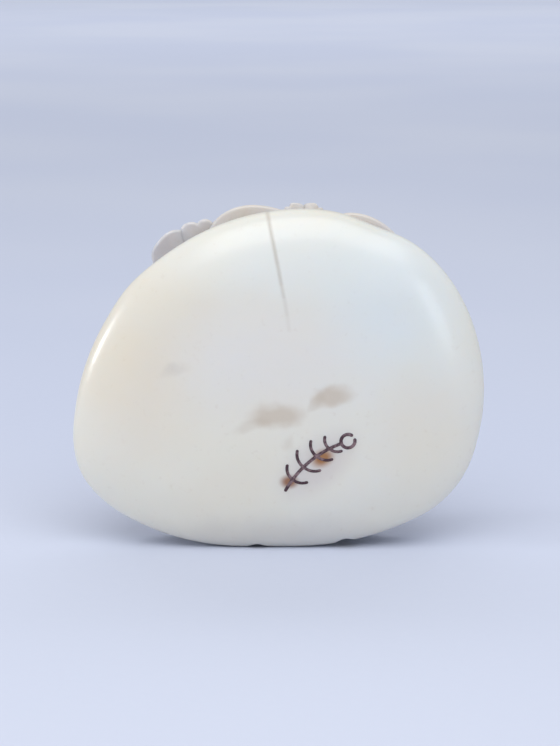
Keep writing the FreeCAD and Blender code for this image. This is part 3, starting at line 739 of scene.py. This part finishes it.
def petal(centre, normal, out, side, length, width, seed, cup, curl, thick=0.62, frill=0,
          notch=0.10, cells=30):
    """One cupped petal: round at its tip, narrow at its base, finely lined, with a rolled edge.
    With frill, its outer edge has that many rounded lobes."""
    u, v = np.meshgrid(np.linspace(-1, 1, cells), np.linspace(-1, 1, cells), indexing="ij")
    x, y = u * np.sqrt(1 - v * v / 2), v * np.sqrt(1 - u * u / 2)
    angle, far = np.arctan2(y, x), np.hypot(x, y)
    reach = 1 - notch * np.exp(-(angle / 0.22) ** 2) * far ** 3
    reach += 0.025 * np.sin(5 * angle + seed * 3.1) * far ** 2
    if frill:
        lobes = np.abs(np.sin(frill * angle * 0.95 + seed)) ** 0.5
        reach -= 0.17 * (1 - lobes) * np.clip(np.cos(angle) * 1.4, 0, 1) * far ** 6
    x, y = x * reach, y * reach
    narrow = 0.55 + 0.45 * np.clip((x + 1) / 1.3, 0, 1) ** 0.8
    fan = np.arctan2(y * narrow, x + 1.5)
    lines = np.cos(fan * 62 + 1.5 * np.sin(seed)) * np.clip(far * 1.3 - 0.25, 0, 1)
    h = cup * (y ** 2 * 1.1 + 0.25 * far ** 2) - curl * np.clip(x - 0.25, 0, 1) ** 2 * 1.3
    h += 0.10 * np.sin(3 * angle + seed * 1.7) * far ** 3
    h += 0.05 * np.sin(frill * 2 * angle * 0.95 + 2 * seed) * far ** 5 if frill else 0
    cut = 0.022 * lines - 0.05 * np.exp(-(y / 0.06) ** 2) * (1 - far)
    along, across = x * length, y * narrow * width
    blade = centre + along[..., None] * out + across[..., None] * side + h[..., None] * normal
    top = blade + cut[..., None] * normal
    depth = thick * (1 - 0.42 * far ** 2)
    bottom = blade - depth[..., None] * normal - 0.05 * depth[..., None] * far[..., None] * out
    hollow = 0.75 * np.clip(-x, 0, 1) + 0.10 * np.clip(-lines, 0, 1) + 0.08
    return sheet(top, bottom, hollow)


def tilted(where, reach, rise, lean, angle):
    """The centre and axes of a petal on a ring: reach out at angle, then leaned up."""
    base, normal, along, side = where
    a, t = math.radians(angle), math.radians(lean)
    out = along * math.cos(a) + side * math.sin(a)
    centre = base + normal * rise + out * reach
    up = normal * math.cos(t) - out * math.sin(t)
    forward = out * math.cos(t) + normal * math.sin(t)
    return centre, up, forward, np.cross(up, forward)


def mound(where, radius, height):
    """A low rounded mound under a flower, with the same stain all over."""
    base, normal, along, side = where
    angles = np.linspace(0, 2 * math.pi, 40, endpoint=False)
    spokes = np.cos(angles)[:, None] * along + np.sin(angles)[:, None] * side
    rings = [base - normal * 0.9 + spokes * radius * s for s in (0.3, 0.8, 1.0)]
    rings += [base + normal * (height * math.sin(a)) + spokes * radius * math.cos(a)
              for a in np.linspace(0.05, 1.5, 9)]
    return *turned_solid(rings), 0.85


def flower(name, node, place, mound_size, petals, seed, seed_step=1.9):
    """A flower at place, which is (x, z, turn): petals on a mound. Each petal is (reach, rise,
    lean, angle, half length, half width, petal options)."""
    where = dome_frame(*place)
    parts = [mound(where, *mound_size)]
    for i, (reach, rise, lean, angle, length, width, options) in enumerate(petals):
        axes = tilted(where, reach, rise, lean, angle)
        parts.append(petal(*axes, length, width, i * seed_step + seed, **options))
    carved(name, node, *joined(parts))


def ring_of(count, turn, reach, rise, lean, length, width, **options):
    """A ring of equal petals."""
    return [(reach, rise, lean, turn + 360 * i / count, length, width, options)
            for i in range(count)]


def inner_rings(s, turn):
    """The four inner rings of a large flower, scaled by s."""
    return (ring_of(6, turn + 27, 3.1 * s, 1.15, 15, 2.9 * s, 2.7 * s, cup=0.55, curl=0.45)
            + ring_of(5, turn + 50, 2.2 * s, 1.75, 32, 2.2 * s, 2.2 * s, cup=0.6, curl=0.3,
                      thick=0.5, cells=26)
            + ring_of(4, turn + 12, 1.35 * s, 2.15, 52, 1.5 * s, 1.6 * s, cup=0.55, curl=0.15,
                      thick=0.42, cells=22)
            + ring_of(3, turn + 40, 0.78 * s, 2.25, 68, 0.95 * s, 1.05 * s, cup=0.35, curl=0.0,
                      thick=0.32, cells=18))


OUTER = dict(cup=0.35, curl=0.55, thick=0.75, cells=34)
UPPER_LEFT_OUTER = [(4.5, 0.55, -3, angle, length, width, dict(OUTER, **options))
                    for angle, length, width, options in (
                        (120, 3.25, 2.7, {"notch": 0.0}),
                        (93, 3.65, 3.15, {"frill": 5, "notch": 0.0}),
                        (34, 3.4, 3.4, {}), (-20, 3.4, 3.5, {}), (236, 3.4, 3.3, {}),
                        (184, 2.9, 3.0, {}))]
flower("bloom_upper_left_petals", "bloom_upper_left", (-8.0, 7.6, 0), (4.6, 1.5),
       UPPER_LEFT_OUTER + inner_rings(1.0, -8), -8.0)
flower("bloom_lower_right_petals", "bloom_lower_right", (8.4, -5.0, 0), (4.2, 1.4),
       ring_of(6, 31, 4.2, 0.5, -2, 3.2, 3.2, **OUTER) + inner_rings(0.93, 31), 8.4)
flower("blossom_top_petals", "blossom_top", (2.6, 14.75, 0), (1.5, 0.7),
       ring_of(5, 54, 1.45, 0.65, 12, 1.35, 1.2, cup=0.35, curl=0.3, thick=0.45, notch=0.22), 2.6)


def bud(name, node, x, z, turn):
    """A closed bud: petals wrapped round each other, held by pointed sepals."""
    petals = ring_of(3, 0, 0.78, 1.35, 66, 1.3, 1.5, cup=0.45, curl=0.1, thick=0.4, cells=22)
    petals += ring_of(3, 60, 0.5, 1.6, 76, 1.15, 1.2, cup=0.35, curl=0.0, thick=0.35, cells=18)
    petals += ring_of(5, 20, 1.25, 0.55, 36, 1.15, 0.62, cup=0.2, curl=0.3, thick=0.35,
                      notch=-0.25, cells=18)
    flower(name, node, (x, z, turn), (1.35, 1.5), petals, 0.0, 1.3)


bud("bud_left_petals", "bud_left", -12.4, -5.0, 30)
bud("bud_right_petals", "bud_right", 14.6, 8.4, 75)


LEAF_TEETH = 9
LEAF_GRID = (88, 34)  # points along and across a leaf


def leaf(name, node, x, z, turn, length, width, rough_edge, seed):
    """A toothed leaf with a cut midrib and veins and a gently rolling edge. Its face is crowned,
    and its underside follows the dome. With rough_edge 0 the edge is smooth."""
    u, v = np.meshgrid(*(np.linspace(-1, 1, count) for count in LEAF_GRID), indexing="ij")
    share = (u + 1) / 2
    half = np.maximum(width * np.sin(math.pi * share ** 0.86) ** 0.78, 0.03)
    saw = (share * LEAF_TEETH) % 1.0
    half *= 1 + 0.07 * rough_edge * (saw - 0.5) * (np.clip(np.abs(v) * 3 - 2, 0, 1)
                                                   * np.sin(math.pi * share))
    bend = 0.10 * length * np.sin(seed) * (u ** 2 - 0.4)
    a, b = u * length, v * half + bend
    edge, taper = np.abs(v), np.sqrt(np.clip(1 - u ** 2, 0, 1))
    blade = 0.55 + 0.62 * (1 - edge ** 2.2) * taper
    blade += rough_edge * (0.14 * np.sin(3.3 * u + seed * 2) * v * edge
                           + 0.10 * np.sin(7 * u + seed) * edge ** 3)
    h = blade - 0.30 * np.exp(-(v * half / 0.13) ** 2) * np.sqrt(taper)
    phase = (share * length * 2 - np.abs(v * half) * 0.9) / (length * 0.30)
    vein = np.exp(-(((phase + 0.5) % 1.0 - 0.5) / 0.085) ** 2)
    vein *= np.clip(edge * 5, 0, 1) * np.clip((1 - edge) * 6, 0, 1)
    inwards = np.clip((1 - edge) * 4, rough_edge, 1)
    h -= (0.10 * vein + 0.06 * np.cos(phase * 2 * math.pi) * np.clip(edge * 2, 0, 1)) * inwards
    c, s = math.cos(math.radians(turn)), math.sin(math.radians(turn))
    px, pz = x + a * c - b * s, z + a * s + b * c
    top = on_dome(px, pz, h)
    swell = 0.45 + 0.75 * (1 - rough_edge)
    under = blade - 0.44 - swell * (1 - edge ** 2) * taper
    bottom = on_dome(px, pz, under)
    hollow = 0.9 * np.exp(-(v * half / 0.16) ** 2) + (0.65 * vein + 0.2 * edge ** 6) * inwards
    carved(name, node, *sheet(top, bottom, np.clip(hollow + 0.08, 0, 1)))


# Each leaf: the node, (x, z) of its middle, turn, half length, half width, and how toothed its edge
for i, (node, *shape) in enumerate((
        ("leaf_top", -3.0, 14.75, 14, 4.5, 2.4, 0.0),
        ("leaf_upper_right", 10.2, 13.2, -35, 4.6, 2.1, 0.0),
        ("leaf_right", 17.2, 1.4, -82, 4.4, 2.2, 1.0),
        ("leaf_lower_right", 14.4, -10.8, -128, 4.0, 2.1, 1.0),
        ("leaf_bottom", 3.0, -14.6, 4, 4.5, 1.9, 1.0),
        ("leaf_lower_left", -9.8, -11.6, 152, 4.9, 2.5, 1.0),
        ("leaf_left", -17.6, -0.4, 96, 4.7, 2.2, 1.0),
        ("leaf_inner_left", -5.4, -4.6, 128, 4.3, 2.1, 1.0),
        ("leaf_inner_right", 6.6, 7.4, 32, 4.7, 2.2, 1.0))):
    leaf(f"{node}_carved", node, *shape, seed=i * 1.7 + 0.6)


STEM_RADIUS = 0.68
KNOTS = (0.2, 0.46, 0.73)  # their places along a stem, as shares of its length


def stem(name, node, points):
    """A tapering stem that bows through three points, with small knots and cut ends."""
    (x0, z0), (x1, z1), (x2, z2) = points
    t = np.linspace(0, 1, 70)
    w0, w1, w2 = 2 * (t - 0.5) * (t - 1), 4 * t * (1 - t), 2 * t * (t - 0.5)
    x, z = x0 * w0 + x1 * w1 + x2 * w2, z0 * w0 + z1 * w1 + z2 * w2
    knots = 0.16 * sum(np.exp(-((t - k) / 0.022) ** 2) for k in KNOTS)
    radii = STEM_RADIUS * (0.72 + 0.35 * t) * (1 + knots) * np.minimum(1, 0.55 + 9 * t)
    radii *= np.minimum(1, 0.62 + 9 * (1 - t))
    verts, faces = tube(on_dome(x, z, 0.12), radii, 26)
    bark = noise_at(verts * (1, 0.5, 1), 0.55, 5.0) * 0.035
    level = on_dome(verts[:, 0], verts[:, 2], 0)
    verts = verts + (verts - level) * bark[:, None]
    hollow = np.clip(0.55 - (verts[:, 1] - level[:, 1]) * 0.9, 0.05, 1)
    carved(name, node, verts, faces, hollow)


stem("stem_lower_carved", "stem_lower", ((-1.4, -1.6), (-1.0, -6.6), (-3.6, -12.0)))
stem("stem_upper_carved", "stem_upper", ((1.2, 10.6), (1.6, 6.2), (0.2, 1.6)))
stem("stem_left_carved", "stem_left", ((-8.4, -7.4), (-13.2, -8.4), (-17.0, -7.2)))


# ------------------------------------------------------------------------------------------------
# Stage, lights and camera
# ------------------------------------------------------------------------------------------------
def floor_and_sky():
    """A wide pale floor under the button, and an even pale sky."""
    m = Nodes("floor_paper")
    grain = m.noise(900, 3, 0.6)
    colour = m.mix(m.ramp(m.noise(6, 2), 0.3, 0.7), srgb(196, 204, 226), srgb(202, 209, 228))
    mat = m.set(Base_Color=colour, Roughness=m.ramp(grain, 0.2, 0.8, 0.75, 0.9),
                Normal=m.bump(grain, 0.08, 0.00005))
    reach, level = 8.0, FOOT * MM
    mesh = bpy.data.meshes.new("floor")
    mesh.from_pydata([(-reach, -reach, level), (reach, -reach, level), (reach, reach, level),
                      (-reach, reach, level)], [], [(0, 1, 2, 3)])
    mesh.materials.append(mat)
    floor = bpy.data.objects.new("floor", mesh)
    scene.collection.objects.link(floor)
    world = bpy.data.worlds.new("studio")
    scene.world = world
    world.use_nodes = True
    background = world.node_tree.nodes["Background"]
    background.inputs["Color"].default_value = (0.97, 0.98, 1.0, 1)
    background.inputs["Strength"].default_value = 0.42


def area_light(name, place, aim, size, power, colour):
    """A rectangular light at place that shines towards aim, both in metres."""
    data = bpy.data.lights.new(name, "AREA")
    data.shape = "RECTANGLE"
    data.size, data.size_y = size
    data.energy = power
    data.color = colour
    light = bpy.data.objects.new(name, data)
    scene.collection.objects.link(light)
    light.location = place
    light.rotation_euler = (Vector(aim) - Vector(place)).to_track_quat("-Z", "Y").to_euler()
    return light


floor_and_sky()
area_light("key", (0.02, -0.30, 0.50), (0, 0, 0.008), (0.70, 0.50), 2.55, (1.0, 0.99, 0.97))
area_light("left_window", (-0.49, -0.06, 0.11), (0, 0, 0.004), (0.075, 0.07), 0.60, (1.0, 1.0, 1.0))
area_light("right_fill", (0.31, -0.385, 0.07), (0, 0, 0.003), (0.10, 0.20), 0.20, (0.82, 0.91, 1.0))
backdrop = area_light("backdrop", (0.0, 1.3, 1.1), (0, 1.2, 0), (2.4, 1.0), 14.0, (1.0, 1.0, 1.0))
backdrop.visible_glossy = False

# The camera looks down by ELEVATION, and sees WIDTH metres across at the aim, DISTANCE away
ELEVATION, DISTANCE, WIDTH = math.radians(11), 0.240, 0.0575
SENSOR = 36
AIM = Vector((0.00015, 0.0035, 0.00073))
camera = bpy.data.objects.new("camera", bpy.data.cameras.new("camera"))
scene.collection.objects.link(camera)
camera.location = AIM + Vector((0, -math.cos(ELEVATION), math.sin(ELEVATION))) * DISTANCE
camera.rotation_euler = (AIM - camera.location).to_track_quat("-Z", "Y").to_euler()
camera.data.sensor_fit = "HORIZONTAL"
camera.data.sensor_width = SENSOR
camera.data.lens = SENSOR * DISTANCE / WIDTH
camera.data.clip_start = 0.01
scene.camera = camera
scene.view_settings.view_transform = "Standard"

# The dowels and the stamens keep their CAD shapes
for node, slot in (("dowel_left", "dowel_ivory"), ("dowel_right", "dowel_ivory"),
                   ("stamens_upper_left", "dark_horn"), ("stamens_lower_right", "dark_horn"),
                   ("stamens_top", "dark_horn")):
    nodes[node].data.materials.clear()
    nodes[node].data.materials.append(materials[slot])
